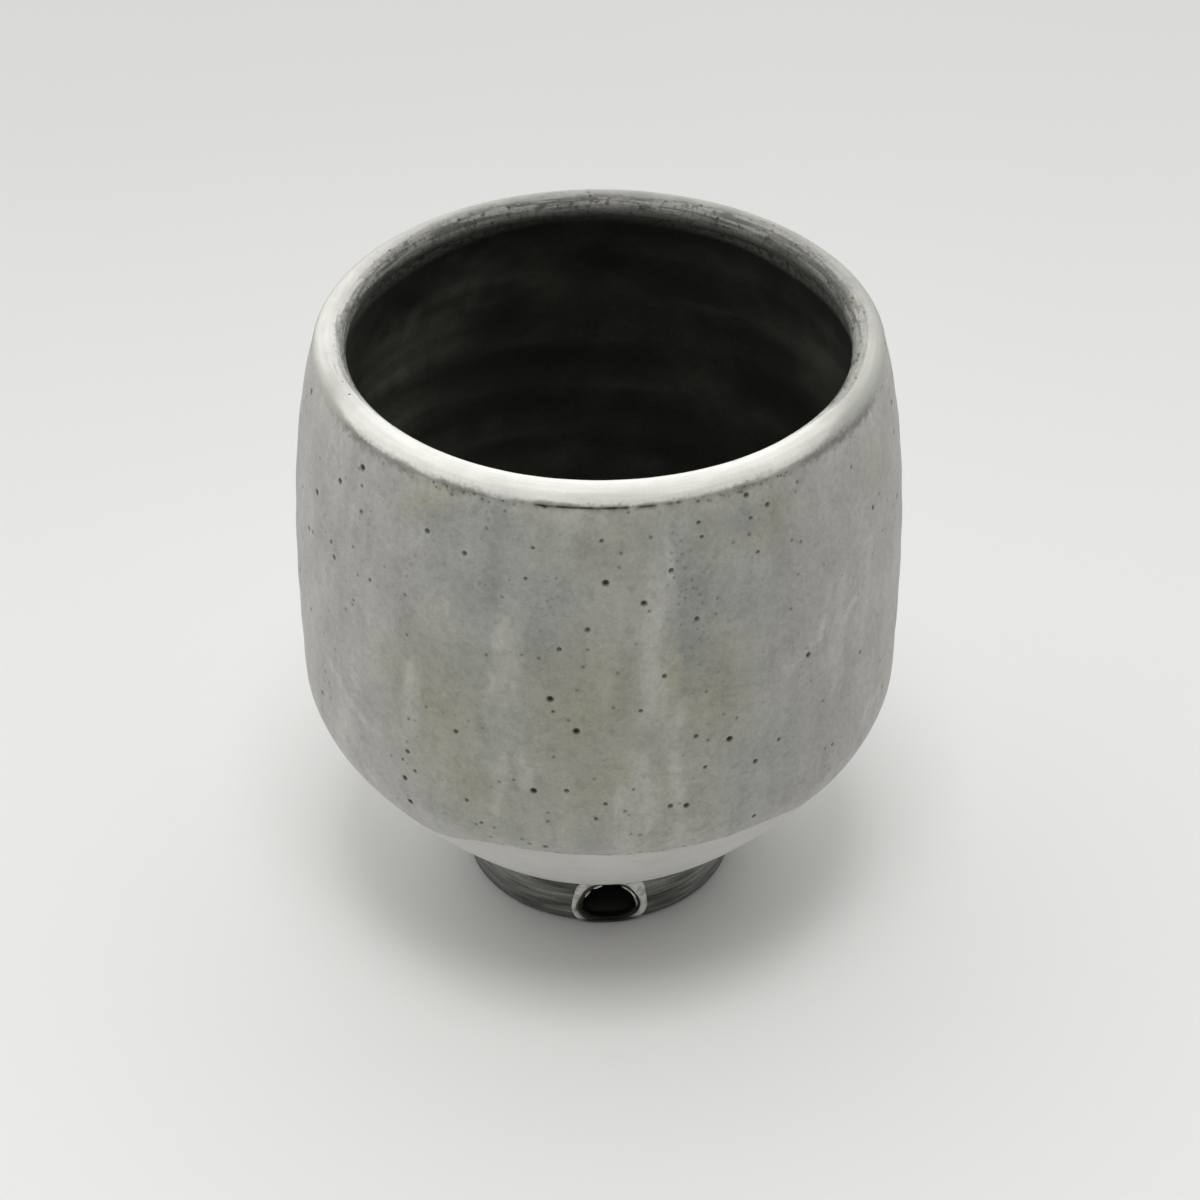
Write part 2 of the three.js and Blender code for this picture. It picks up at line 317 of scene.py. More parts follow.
class ClayOutline:
    """The clay's outline by length, from the foot joint over the lip to the middle of the floor."""

    def __init__(self):
        lip_round = LIP_THICKNESS / 2 - LIP_COAT
        lip_middle = np.array([LIP_OUTER_RADIUS - LIP_THICKNESS / 2, CUP_TOP - LIP_THICKNESS / 2])
        lean = np.array([math.sin(WALL_LEAN), -math.cos(WALL_LEAN)])
        rise = np.array([math.cos(UNDERSIDE_ANGLE), math.sin(UNDERSIDE_ANGLE)])
        joint = np.array([FOOT_TOP_RADIUS, BOWL_BASE])
        belly = np.array([BELLY_RADIUS - WALL_COAT, BELLY_HEIGHT])
        crease = lip_middle + (lip_round, 0)
        inner_lip = lip_middle - (lip_round * math.cos(WALL_LEAN), lip_round * math.sin(WALL_LEAN))
        inner_belly = belly - (WALL_THICKNESS, 0)
        floor = np.array([FLOOR_FLAT_RADIUS, BOWL_BASE + FLOOR_THICKNESS])
        turn = np.linspace(0, math.pi + WALL_LEAN, OUTLINE_STEPS, endpoint=False)[:, None]
        self.points = np.vstack([
            bezier(joint, rise * UNDERSIDE_SWELL, (0, -LOWER_BELLY_SWELL), belly),
            bezier(belly, (0, UPPER_BELLY_SWELL), lean * SHOULDER_SWELL, crease),
            lip_middle + lip_round * np.hstack([np.cos(turn), np.sin(turn)]),
            bezier(inner_lip, lean * INNER_SHOULDER_SWELL, (0, INNER_WALL_SWELL), inner_belly),
            bezier(inner_belly, (0, -INNER_BELLY_SWELL), (INNER_FLOOR_SWELL, 0), floor),
            [floor, floor * (0, 1)],
        ])
        steps = np.diff(self.points, axis=0)
        self.lengths = np.concatenate([[0], np.cumsum(np.hypot(steps[:, 0], steps[:, 1]))])
        facing = np.column_stack([steps[:, 1], -steps[:, 0]])
        facing /= np.linalg.norm(facing, axis=1)[:, None]
        self.facing = np.vstack([facing[:1], (facing[1:] + facing[:-1]) / 2, facing[-1:]])
        self.joint, _, self.crease, self.inner_lip = self.lengths[:4 * OUTLINE_STEPS:OUTLINE_STEPS]
        self.end = self.lengths[-1]

    def at(self, along):
        """Radius, height and the facing's two parts at lengths along the outline."""
        return [np.interp(along, self.lengths, column)
                for column in (*self.points.T, *self.facing.T)]

    def outside_at_height(self, height):
        """The length along the outside at which a height is reached."""
        outside = self.lengths <= self.crease
        return np.interp(height, self.points[outside, 1], self.lengths[outside])


CLAY = ClayOutline()


def clouds(points, size, seed):
    """Smooth noise from -1 to 1 at points, with features of about the given size."""
    shift = Vector([seed * step for step in SEED_STEP])
    return np.array([noise.noise(Vector(p) / size + shift) for p in points])


def smooth(low, high, value):
    """0 below low, 1 above high and a smooth rise between them."""
    t = np.clip((value - low) / (high - low), 0, 1)
    return t * t * (3 - 2 * t)


def turned_away(around, degrees):
    """The difference between two directions round the cup, from -180 to 180."""
    return (around - degrees + 180) % 360 - 180


def ring_points(around, radius, height):
    """Points in millimetres from degrees round from the front, radius and height."""
    turn = np.radians(around)
    columns = (radius * np.sin(turn), -radius * np.cos(turn), height * np.ones_like(turn))
    return np.column_stack([np.ravel(column) for column in columns])


def ring_clouds(around, height, size, seed, radius=40.0):
    """Noise on a round wall, shaped like the arrays that it is given."""
    around, height = np.broadcast_arrays(around, height)
    return clouds(ring_points(around, radius, height), size, seed).reshape(around.shape)


def layered(layers, around, height, radius=40.0):
    """Layers of noise on a round wall, added up: amount, size, seed."""
    return sum(amount * ring_clouds(around, height, size, seed, radius) for amount, size, seed in layers)


def drawn(ranges):
    """A random number from each of several ranges."""
    return [DRAW.uniform(*span) for span in ranges]


def add_back_marks():
    """Gives the sides and back marks like those at the front."""
    for _ in range(BACK_RUNS):
        low, degrees, lean, length, wide, strength = drawn(BACK_RUN)
        PALE_RUNS.append((degrees, lean, low, low + length, wide, strength))
    for _ in range(BACK_CLOUDS):
        OLIVE_CLOUDS.append(drawn(BACK_OLIVE_CLOUD))
        DARK_CLOUDS.append(drawn(BACK_DARK_CLOUD))
    for _ in range(BACK_LINES):
        degrees, low = drawn(BACK_LINE)
        line = [(degrees, low + BACK_LINE_RISE)]
        for sway, rise in BACK_LINE_BENDS:
            line.append((degrees + DRAW.uniform(-sway, sway), low + rise))
        PALE_LINES.append(line)
    for _ in range(BACK_PINHOLES):
        PINHOLES.append(drawn(BACK_PINHOLE))


def pale_at(around, height):
    """How much pale glaze has run over each place on the wall."""
    warp = layered([(1.6, 7, 1), (0.9, 2.6, 2)], around, height)
    total = np.zeros_like(around)
    for degrees, lean, low, high, wide, strength in PALE_RUNS:
        across = (turned_away(around, degrees + lean * (height - low)) + warp) / wide
        ends = smooth(low - 2.5, low + 2.5, height) * (1 - smooth(high - 5, high + 3, height))
        total = np.maximum(total, strength * ends * np.exp(-across ** 4))
    return total * (1 - dark_edge_at(around, height))


def clouded(spots, around, height, seed):
    """The strength of soft round clouds on the wall."""
    warp = ring_clouds(around, height, 9, seed)
    ragged = ring_clouds(around, height, 3, seed + 1)
    total = np.zeros_like(around)
    for degrees, middle, wide, tall, strength in spots:
        across = (turned_away(around, degrees) + 5 * warp) / wide
        upward = (height - middle + 3 * ragged) / tall
        total = np.maximum(total, strength * np.exp(-across ** 2 - upward ** 2))
    return total


def pale_lines_at(around, height):
    """The strength of the thin pale lines on the wall, least at the front."""
    turn = around + 0.8 * ring_clouds(around, height, 2.2, 18)
    rise = height + 0.5 * ring_clouds(around, height, 1.8, 19)
    nearest = np.full(np.shape(around), np.inf)
    for line in PALE_LINES:
        for (turn_a, rise_a), (turn_b, rise_b) in zip(line, line[1:]):
            across = np.radians(turned_away(turn, turn_a)) * BELLY_RADIUS
            upward = rise - rise_a
            run = math.radians(turn_b - turn_a) * BELLY_RADIUS
            climb = rise_b - rise_a
            share = np.clip((across * run + upward * climb) / (run ** 2 + climb ** 2), 0, 1)
            nearest = np.minimum(nearest, np.hypot(across - share * run, upward - share * climb))
    strength = 0.6 + 0.4 * smooth(36, 44, np.abs(turned_away(around, 0)))
    return np.exp(-(nearest / PALE_LINE_WIDTH) ** 2) * strength


def dark_edge_at(around, height):
    """The strength of the dark run with one sharp edge."""
    degrees, lean, low, high, wide, strength = DARK_EDGE
    across = turned_away(around, degrees + lean * (height - low)) + 0.7 * ring_clouds(around, height, 5, 20)
    ends = smooth(low - 6, low + 6, height) * (1 - smooth(high - 6, high + 1, height))
    return strength * ends * smooth(-0.5, 0.6, across) * np.exp(-(across / wide) ** 2)


def glaze_line(around):
    """The wandering height at which the wall's glaze ends, lower at both sides."""
    wander = layered([(1, 16, 11), (0.45, 2.2, 12)], around, GLAZE_LINE, radius=30)
    turn = turned_away(around, 0)
    sides = 1 - smooth(*GLAZE_DIPS_END, np.abs(turn))
    dip = sum(depth * smooth(near, far, side * turn) for side, depth, near, far in GLAZE_DIPS)
    return GLAZE_LINE + GLAZE_LINE_WANDER * wander - dip * sides


def strongest(parts, around):
    """The strongest of several marks that fade to both sides, round the cup."""
    return np.maximum.reduce([strength * np.exp(-(turned_away(around, degrees) / wide) ** steep)
                              for degrees, wide, strength, steep in parts])


def behind(around):
    """0 at the front and 1 round the back, for degrees from -180 to 180."""
    return smooth(*BACK_SPAN, np.abs(around))


def crease_line(around):
    """How clearly the thin dark line in the crease shows, round the cup."""
    broken = layered([(1, 2.4, 21), (0.8, 0.8, 22)], around, CUP_TOP)
    # The rows of a coat count their degrees up to 360, so the groove keeps the back's depth on its left side
    whole = np.maximum(strongest(CREASE_LINE, around), CREASE_LINE_BACK * behind(around))
    return np.clip(whole + 0.8 * broken - 0.16, 0, 1)


def crease_smear(around):
    """How much soft brown-grey smear lies in the crease, round the cup."""
    patchy = ring_clouds(around, CUP_TOP, 7, 23)
    whole = np.maximum(strongest(CREASE_SMEAR, around), CREASE_SMEAR_BACK * behind(around))
    return np.clip(whole + 0.5 * patchy, 0, 1)


def crease_groove(along, around):
    """How deep the groove in the crease is, on both sides of it."""
    return CREASE_DEPTH * crease_line(around) * np.exp(-((along - CLAY.crease) / CREASE_WIDTH) ** 2)


def wall_coat_thickness(along, around):
    """The wall glaze's thickness: runs and waves, thin at both edges."""
    height = CLAY.at(along)[1]
    bend = 1.5 * ring_clouds(around, height, 30, 31)
    waves = WAVE_HEIGHT * np.sin(2 * math.pi * height / WAVE_PITCH + bend)
    relief = RUN_HEIGHT * pale_at(around, height) + waves + layered(WALL_NOISE, around, height)
    edge = smooth(0, GLAZE_EDGE_WIDTH, along - along[:1])
    seam = smooth(0, 3, CLAY.crease - along)
    even = GLAZE_EDGE_COAT + (WALL_COAT - GLAZE_EDGE_COAT) * edge
    return even + relief * edge * seam - crease_groove(along, around)


def lip_coat_thickness(along, around):
    """The lip glaze's thickness: a soft handmade roll, thin in the crease."""
    wobble = LIP_WOBBLE * ring_clouds(around, CUP_TOP, 18, 41)
    ripple = LIP_RIPPLE * ring_clouds(around, along * 3, 3, 42)
    ends = smooth(0, 1.2, along - CLAY.crease) * smooth(0, 1.5, CLAY.inner_lip - along)
    return LIP_COAT + (wobble + ripple) * ends - crease_groove(along, around)


def collar_coat_thickness(along, around):
    """The collar slip's thickness, with faint turning marks."""
    height = CLAY.at(along)[1]
    bend = 2 * ring_clouds(around, height, 14, 51, radius=28)
    marks = TURNING_HEIGHT * np.sin(2 * math.pi * along / TURNING_PITCH + bend)
    return COLLAR_COAT + marks + COLLAR_RIPPLE * ring_clouds(around, height, 6, 52, radius=28)


def finger_turns(depth, around):
    """The angle of the spiral that the potter's finger left on the inside."""
    return 2 * math.pi * (depth / FINGER_PITCH + around / 360)


def liner_coat_thickness(along, around):
    """The liner glaze's thickness over the spiral of finger marks."""
    height = CLAY.at(along)[1]
    depth = along - CLAY.inner_lip
    spiral = np.sin(finger_turns(depth, around) + 1.2 * ring_clouds(around, height, 26, 61))
    middle = smooth(0, 6, CLAY.end - along) * smooth(0, 7, depth)
    soft = LINER_WOBBLE * ring_clouds(around, height, 12, 62)
    return LINER_COAT + (FINGER_HEIGHT * spiral + soft) * middle


def store(mesh, name, values):
    """Keeps one number for each point of a mesh."""
    mesh.attributes.new(name, "FLOAT", "POINT").data.foreach_set("value", np.asarray(values, np.float32))


def stored(mesh, name):
    """The numbers that were kept for the points of a mesh."""
    values = np.zeros(len(mesh.vertices), np.float32)
    mesh.attributes[name].data.foreach_get("value", values)
    return values


def points_of(mesh):
    """The points of a mesh in millimetres, their degrees round from the front and their heights."""
    points = np.zeros(len(mesh.vertices) * 3)
    mesh.vertices.foreach_get("co", points)
    points = points.reshape(-1, 3) / MM
    return points, np.degrees(np.arctan2(points[:, 0], -points[:, 1])), points[:, 2]


def move_points(mesh, points):
    """Puts the points of a mesh at new places in millimetres."""
    mesh.vertices.foreach_set("co", (points * MM).ravel())


def weld(mesh):
    """Joins points that lie on each other, and turns all faces outwards."""
    work = bmesh.new()
    work.from_mesh(mesh)
    bmesh.ops.remove_doubles(work, verts=work.verts, dist=1e-7)
    bmesh.ops.recalc_face_normals(work, faces=work.faces)
    work.to_mesh(mesh)
    work.free()


def paint(mesh, name, *marks):
    """Keeps four marks for each point of a mesh, for a finish to read."""
    values = np.column_stack([np.broadcast_to(mark, len(mesh.vertices)) for mark in marks])
    layer = mesh.color_attributes.new(name, "FLOAT_COLOR", "POINT")
    layer.data.foreach_set("color", values.astype(np.float32).ravel())


def placed(name, data):
    """A new object in the scene."""
    thing = bpy.data.objects.new(name, data)
    bpy.context.scene.collection.objects.link(thing)
    return thing


def add_piece(mesh, node, finish, sharp=50):
    """Makes a mesh a shown piece that stands for a solid."""
    mesh.set_sharp_from_angle(angle=math.radians(sharp))
    mesh.materials.append(finish)
    piece = placed(mesh.name, mesh)
    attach(piece, "root")
    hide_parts(node)


def ring_faces(rows, columns):
    """Faces between rings of points, with the last ring joined to the first."""
    corners = np.arange(rows * columns).reshape(rows, columns)
    across = np.roll(corners, -1, axis=1)
    faces = np.stack([corners, across, np.roll(across, -1, axis=0), np.roll(corners, -1, axis=0)], axis=-1)
    return faces.reshape(-1, 4).tolist()


def shell(name, start, end, step, thickness, columns=COLUMNS, crowding=1.0):
    """A closed coat on the clay, between two lengths that may change round the cup."""
    around = np.arange(columns) * 360 / columns
    start = np.broadcast_to(start, around.shape)
    end = np.broadcast_to(end, around.shape)
    rows = int((end - start).mean() / step) + 2
    fine = 1 - np.linspace(1, 0, rows)[:, None] ** crowding
    coarse = np.linspace(1, 0, max(rows // 3, 3))[:, None]
    along = start + np.vstack([fine, coarse]) * (end - start)
    around = np.broadcast_to(around, along.shape)
    coat = np.zeros_like(along)
    coat[:rows] = thickness(along[:rows], around[:rows])
    skin = np.zeros_like(along)
    skin[:rows] = 1
    radius, height, out, up = CLAY.at(along)
    mitre = np.hypot(out, up)
    depth = coat / mitre
    radius = np.maximum(radius + out / mitre * depth, 0)
    points = ring_points(around, radius, height + up / mitre * depth) * MM
    mesh = bpy.data.meshes.new(name)
    mesh.from_pydata(points.tolist(), [], ring_faces(*along.shape))
    store(mesh, "along", along.ravel())
    store(mesh, "skin", skin.ravel())
    weld(mesh)
    return mesh


def refine_near(mesh, places):
    """Cuts the faces of the wall's skin round each pinhole into smaller ones."""
    work = bmesh.new()
    work.from_mesh(mesh)
    skin = work.verts.layers.float["skin"]
    outer = [face for face in work.faces if all(vert[skin] > 0.5 for vert in face.verts)]
    tree = kdtree.KDTree(len(outer))
    for index, face in enumerate(outer):
        tree.insert(face.calc_center_median(), index)
    tree.balance()
    near = {index for place in places
            for _, index, _ in tree.find_range(Vector(place) * MM, PINHOLE_REFINED * MM)}
    edges = {edge for index in near for edge in outer[index].edges}
    bmesh.ops.subdivide_edges(work, edges=list(edges), cuts=PINHOLE_CUTS, use_grid_fill=True)
    work.to_mesh(mesh)
    work.free()


def dig_pinholes(mesh):
    """Sinks a crater at each pinhole, except over the collar's slip, and returns its dark and halo."""
    degrees, heights, sizes = np.array(PINHOLES).T
    radius = CLAY.at(CLAY.outside_at_height(heights))[0] + WALL_COAT
    places = ring_points(degrees, radius, heights)
    refine_near(mesh, places)
    points = points_of(mesh)[0]
    core, halo, dark = np.zeros((3, len(points)))
    for place, size in zip(places, sizes):
        away = np.linalg.norm(points - place, axis=1) / size
        blackness = np.clip((size / PINHOLE_BLACK) ** PINHOLE_FADE, PINHOLE_PALEST, 1)
        core = np.maximum(core, 1 - smooth(0.55, 1.15, away))
        dark = np.maximum(dark, blackness * (1 - smooth(0.5, 1.5, away)))
        halo = np.maximum(halo, 1 - smooth(1.0, HALO_REACH, away))
    over_slip = GLAZE_LINE + COLLAR_TUCK
    core *= stored(mesh, "skin") * smooth(over_slip, over_slip + 1, points[:, 2])
    outward = points * (1, 1, 0)
    outward /= np.linalg.norm(outward, axis=1)[:, None]
    move_points(mesh, points - outward * (PINHOLE_DEPTH * core)[:, None])
    return dark, halo


def colour(code):
    """A finish's colour from the hexadecimal code that a screen would use."""
    parts = [int(code[i:i + 2], 16) / 255 for i in (0, 2, 4)]
    return [p / 12.92 if p <= 0.04045 else ((p + 0.055) / 1.055) ** 2.4 for p in parts] + [1]


class Nodes:
    """The nodes of a material or a sky."""

    def __init__(self, owner):
        owner.use_nodes = True
        self.nodes = owner.node_tree.nodes
        self.links = owner.node_tree.links

    def feed(self, node, inputs):
        """Gives a node's inputs their values, or links them to other nodes."""
        for socket, value in inputs.items():
            if isinstance(value, bpy.types.NodeSocket):
                self.links.new(value, node.inputs[socket])
            else:
                node.inputs[socket].default_value = value

    def add(self, kind, inputs, **settings):
        """The outputs of a new node."""
        node = self.nodes.new("ShaderNode" + kind)
        for name, value in settings.items():
            setattr(node, name, value)
        self.feed(node, inputs)
        return node.outputs


class Finish(Nodes):
    """A procedural material whose base colour is laid step by step. Sizes are in millimetres."""

    def __init__(self, name):
        self.material = bpy.data.materials.new(name)
        super().__init__(self.material)
        self.place = self.add("TexCoord", {})["Object"]
        self.base = None

    def mapped(self, size, seed, stretch=(1, 1, 1)):
        """The place on the object in steps of the size, moved by the seed."""
        scale = [1 / (size * s * MM) for s in stretch]
        shift = [seed * step for step in SEED_STEP]
        return self.add("Mapping", {"Vector": self.place, "Scale": scale, "Location": shift})["Vector"]

    def noise_at(self, place, detail=3, roughness=0.5):
        """Soft noise from about 0.25 to 0.75, with features one step wide."""
        inputs = {"Vector": place, "Scale": 1, "Detail": detail, "Roughness": roughness}
        return self.add("TexNoise", inputs)[0]

    def noise(self, size, seed, detail=3, stretch=(1, 1, 1), roughness=0.5):
        """Noise with features of about the given size."""
        return self.noise_at(self.mapped(size, seed, stretch), detail, roughness)

    def drawn_noise(self, across, long, wide, seed):
        """Noise drawn out round the cup, where across is the length along its outline."""
        level = self.add("SeparateXYZ", {0: self.mapped(long, seed)})
        place = self.add("CombineXYZ", {0: level[0], 1: level[1], 2: self.reckon("DIVIDE", across, wide)})
        return self.noise_at(place[0])

    def specks(self, spacing, reach, seed):
        """Small scattered dots: 1 in a dot, 0 outside it."""
        cells = self.add("TexVoronoi", {"Vector": self.mapped(spacing, seed), "Scale": 1})
        return self.ramp(cells["Distance"], reach / spacing, 0.35 * reach / spacing)

    def ramp(self, value, low=0.35, high=0.65, first=0.0, last=1.0):
        """A smooth change from first to last as the value goes from low to high."""
        inputs = {"Value": value, "From Min": low, "From Max": high, "To Min": first, "To Max": last}
        return self.add("MapRange", inputs, interpolation_type="SMOOTHSTEP")["Result"]

    def reckon(self, kind, first, second):
        """Arithmetic on two values."""
        return self.add("Math", {0: first, 1: second}, operation=kind)["Value"]

    def both(self, first, second):
        """The product of two strengths."""
        return self.reckon("MULTIPLY", first, second)

    def wobbled(self, value, pattern, amount):
        """A value pushed up and down by noise."""
        return self.reckon("ADD", value, self.both(self.reckon("SUBTRACT", pattern, 0.5), amount))

    def mix(self, factor, first, second):
        """One colour laid over another."""
        return self.add("Mix", {0: factor, 6: first, 7: second}, data_type="RGBA")[2]

    def blend(self, pattern, first, second, low=0.35, high=0.65):
        """A colour that changes into another with the pattern."""
        return self.mix(self.ramp(pattern, low, high), colour(first), colour(second))

    def shaded(self, base, pattern, amount):
        """A colour made darker and lighter by noise, by up to the amount."""
        level = self.ramp(pattern, 0.25, 0.75, 1 - amount, 1 + amount)
        return self.add("VectorMath", {0: base, "Scale": level}, operation="SCALE")["Vector"]

    def lay(self, code, strength, *shares):
        """Lays a colour over the base, with a strength that shares may lower."""
        for share in shares:
            strength = self.both(strength, share)
        self.base = self.mix(strength, self.base, colour(code))

    def vary(self, pattern, amount):
        """Makes the base darker and lighter by noise."""
        self.base = self.shaded(self.base, pattern, amount)

    def marks(self, name):
        """The four marks that were painted on a mesh."""
        painted = self.add("Attribute", {}, attribute_name=name)
        return [*self.add("SeparateColor", {"Color": painted["Color"]}), painted["Alpha"]]

    def finished(self, rough, *relief, specular=0.5):
        """The material, with relief given as patterns and depths, the lowest first."""
        inputs = {"Base Color": self.base, "Roughness": rough, "Specular IOR Level": specular}
        under = {}
        for pattern, depth in relief:
            layer = self.add("Bump", {"Height": pattern, "Distance": depth * MM, **under})
            under = {"Normal": layer["Normal"]}
        self.feed(self.nodes["Principled BSDF"], {**inputs, **under})
        return self.material


def lay_crease(look, away, line, smear, specked, fine):
    """Lays the crease's smear, specks and dark line over a finish's colour."""
    def close(spread, far, near):
        return look.ramp(look.wobbled(away, fine, spread), far, near)

    look.lay("716c64", close(1.8, 1.25, 0.0), look.ramp(smear, 0.1, 0.9, 0.0, 0.75))
    look.lay("6b665e", close(0.8, 0.8, 0.0), look.ramp(line, 0.05, 0.8, 0.0, 0.55))
    look.lay("4b4741", look.specks(0.75, 0.3, 17), close(1.5, 1.1, 0.3), specked, 0.85)
    width = look.ramp(fine, 0.3, 0.7, 0.14, 0.46)
    look.lay("28241f", close(0.6, width, 0.06), look.ramp(line, 0.3, 1.0, 0.0, 0.9))


def wall_finish():
    """Satin grey glaze with clouds, pale runs, fine grain, specks and black pinholes."""
    look = Finish("grey_glaze_finish")
    pale, olive, dark, warm = look.marks("glaze")
    core, halo, lines, edge = look.marks("pinholes")
    away, line, smear, specked = look.marks("seam")
    drift = look.noise(17, 1, detail=2, stretch=(1, 1, 1.8))
    patch = look.noise(5.5, 7, stretch=(1, 1, 1.5))
    streak = look.noise(3.2, 2, stretch=(1, 1, 5))
    smudge = look.noise(1.9, 6, roughness=0.55)
    mottle = look.noise(1.1, 3)
    grain = look.noise(0.42, 4, detail=2)
    look.base = look.blend(drift, "acaca4", "a6a7a0")
    look.lay("aca8a5", warm)
    look.lay("9f9e8b", olive)
    # Darker, cooler clouds; the one low on the right is painted shade
    look.lay("8e908c", dark, 0.8)
    look.lay("b4b3ab", look.ramp(away, 4.0, 0.4, 0.0, 0.35))
    look.lay("b5b4ad", pale, look.ramp(streak, 0.3, 0.62, 0.35, 0.95))
    look.lay("c1c0b9", lines, look.ramp(patch, 0.35, 0.6, 0.35, 0.8))
    look.vary(streak, 0.05)
    look.vary(patch, 0.09)
    look.lay("83847d", look.ramp(smudge, 0.46, 0.36, 0.0, 0.25))
    look.vary(mottle, 0.07)
    look.vary(grain, 0.065)
    look.lay("696a63", look.specks(0.95, 0.34, 9), look.ramp(dark, 0.3, 0.8, 0.0, 0.55))
    look.lay("5b5a52", look.specks(2.2, 0.4, 5), look.ramp(patch, 0.56, 0.46), 0.7)
    fringe = look.ramp(look.wobbled(edge, mottle, 1.2), 0.9, 0.1)
    look.lay("55534c", fringe, look.specks(1.3, 0.5, 8), 0.7)
    look.lay("bdbbb3", halo, 0.12)
    lay_crease(look, away, line, smear, specked, mottle)
    look.lay("0c0c0b", core)
    return look.finished(look.ramp(smudge, 0.3, 0.7, 0.4, 0.54), (smudge, 0.05), (grain, 0.02), specular=0.4)


def lip_finish():
    """White glaze that wears to grey streaks and dark mottling on the inside."""
    look = Finish("white_lip_finish")
    climb, line, smear, white = look.marks("lip")
    cloud = look.noise(4.5, 11)
    streak = look.drawn_noise(climb, 11, 0.5, 12)
    mottle = look.noise(1.3, 18, roughness=0.6)
    fine = look.noise(0.55, 13, detail=4, roughness=0.65)
    grain = look.noise(0.3, 14, detail=2)
    grey_part = look.blend(cloud, "a5a49e", "979690")
    look.base = look.mix(white, grey_part, look.blend(cloud, "f0efe8", "e8e7e0"))
    look.vary(streak, 0.07)
    look.vary(grain, 0.03)
    grey_height = look.ramp(white, 0.3, 1.0, 3.0, 0.7)
    low = look.ramp(look.wobbled(climb, cloud, 1.5), grey_height, look.both(grey_height, 0.35))
    look.lay("a6a69f", low, 0.85)
    reach = look.wobbled(look.wobbled(climb, streak, 4.4), mottle, 1.4)
    past = look.reckon("SUBTRACT", reach, look.ramp(white, 0.0, 0.9, 2.9, 3.9))
    worn = look.blend(streak, "62625b", "9b9a93", 0.4, 0.6)
    worn = look.mix(look.ramp(mottle, 0.5, 0.36, 0.0, 0.7), worn, colour("45453f"))
    look.base = look.mix(look.ramp(past, -0.2, 1.0), look.base, look.shaded(worn, fine, 0.2))
    look.lay("2e2e2a", look.specks(1.7, 0.34, 15), look.ramp(past, -0.4, 0.6, 0.0, 0.8))
    look.lay("484842", look.ramp(past, 1.9, 3.2, 0.0, 0.75))
    look.lay("35332f", look.specks(5.2, 0.3, 16), 0.85)
    lay_crease(look, climb, line, smear, 0.3, fine)
    return look.finished(look.ramp(past, -0.3, 1.0, 0.36, 0.6), (grain, 0.012), (fine, 0.05), specular=0.22)


def collar_finish():
    """Smooth pale slip, a little pink, with faint turning lines."""
    look = Finish("pale_slip_finish")
    cloud = look.noise(9, 21)
    lines = look.noise(0.5, 22, stretch=(24, 24, 1))
    grain = look.noise(0.35, 23, detail=2)
    look.base = look.blend(cloud, "cdcac6", "c6c4be")
    look.vary(lines, 0.035)
    look.vary(grain, 0.03)
    look.lay("75736d", look.specks(3.4, 0.22, 24), 0.4)
    return look.finished(look.ramp(cloud, 0.3, 0.7, 0.5, 0.62), (grain, 0.015), (lines, 0.03), specular=0.35)


def liner_finish():
    """Satin charcoal glaze with soft lighter smudges, partly painted light, worn grey just under the lip."""
    look = Finish("charcoal_liner_finish")
    depth, smudges_and_painted_light, ridge, wear = look.marks("liner")
    smudge = look.noise(11, 31, detail=4, stretch=(1.3, 1.3, 1))
    drawn_out = look.drawn_noise(depth, 26, 3.2, 33)
    fine = look.noise(0.8, 34, detail=4, roughness=0.65)
    grain = look.noise(0.6, 32)
    look.base = look.blend(smudge, "31322f", "474840", 0.42, 0.75)
    # Lighter smudges, partly painted light falling on the left of the inside
    look.lay("8c8d7f", smudges_and_painted_light, look.ramp(drawn_out, 0.35, 0.65, 0.55, 1.0))
    look.lay("585950", ridge, look.ramp(drawn_out, 0.45, 0.7, 0.0, 0.28))
    look.vary(grain, 0.12)
    near = look.wobbled(look.wobbled(depth, fine, 2.6), drawn_out, 2.2)
    reach = look.ramp(wear, 0.6, 1.0, 1.2, 3.2)
    worn_part = look.ramp(look.reckon("SUBTRACT", near, reach), 0.0, -1.4)
    strength = look.both(worn_part, look.ramp(wear, 0.3, 0.6, 0.35, 1.0))
    look.base = look.mix(strength, look.base, look.blend(fine, "4e4e48", "84837c", 0.36, 0.64))
    return look.finished(look.ramp(smudge, 0.3, 0.7, 0.5, 0.64), (grain, 0.02), specular=0.3)


def clay_finish(name, seed, dark_clay_and_painted_shade=None):
    """Dark burnished stoneware with turning streaks; where marks are given, painted shade darkens the bottom
    edge, and the recess and notch over their darker clay.
    """
    look = Finish(name)
    streak = look.noise(0.55, 41 + seed, detail=4, stretch=(22, 22, 1), roughness=0.6)
    broad = look.noise(2.2, 42 + seed, stretch=(5, 5, 1))
    grain = look.noise(0.3, 43 + seed)
    look.base = look.blend(broad, "42443f", "82847d", 0.35, 0.68)
    look.lay("adaea5", look.ramp(streak, 0.42, 0.74, 0.0, 0.75))
    look.lay("262722", look.ramp(streak, 0.46, 0.3, 0.0, 0.65))
    look.vary(grain, 0.12)
    look.lay("b5b5ab", look.specks(2.6, 0.24, 44 + seed), 0.5)
    if dark_clay_and_painted_shade is not None:
        # Painted shade: a contact shadow along the bottom edge, and shade in the recess and the notch over
        # their darker clay
        inner, tunnel, low = look.marks(dark_clay_and_painted_shade)[:3]
        look.lay("1e1f1b", low, 0.7)
        look.lay("1a1a17", inner)
        look.lay("0f0f0d", tunnel)
    return look.finished(look.ramp(streak, 0.3, 0.7, 0.4, 0.58), (grain, 0.02), (streak, 0.05))


def bead_finish():
    """The white bead of glaze round the notch, greyer in places, with painted shade darkening its bottom."""
    look = Finish("white_bead_finish")
    cloud = look.noise(1.3, 51)
    grain = look.noise(0.3, 52, detail=2)
    look.base = look.blend(cloud, "f2f1ea", "c4c3bc", 0.4, 0.68)
    look.vary(grain, 0.05)
    # Painted shade on the bead's bottom
    look.lay("2e2e2a", look.marks("bead")[0])
    return look.finished(look.ramp(cloud, 0.3, 0.7, 0.3, 0.45), (cloud, 0.06))


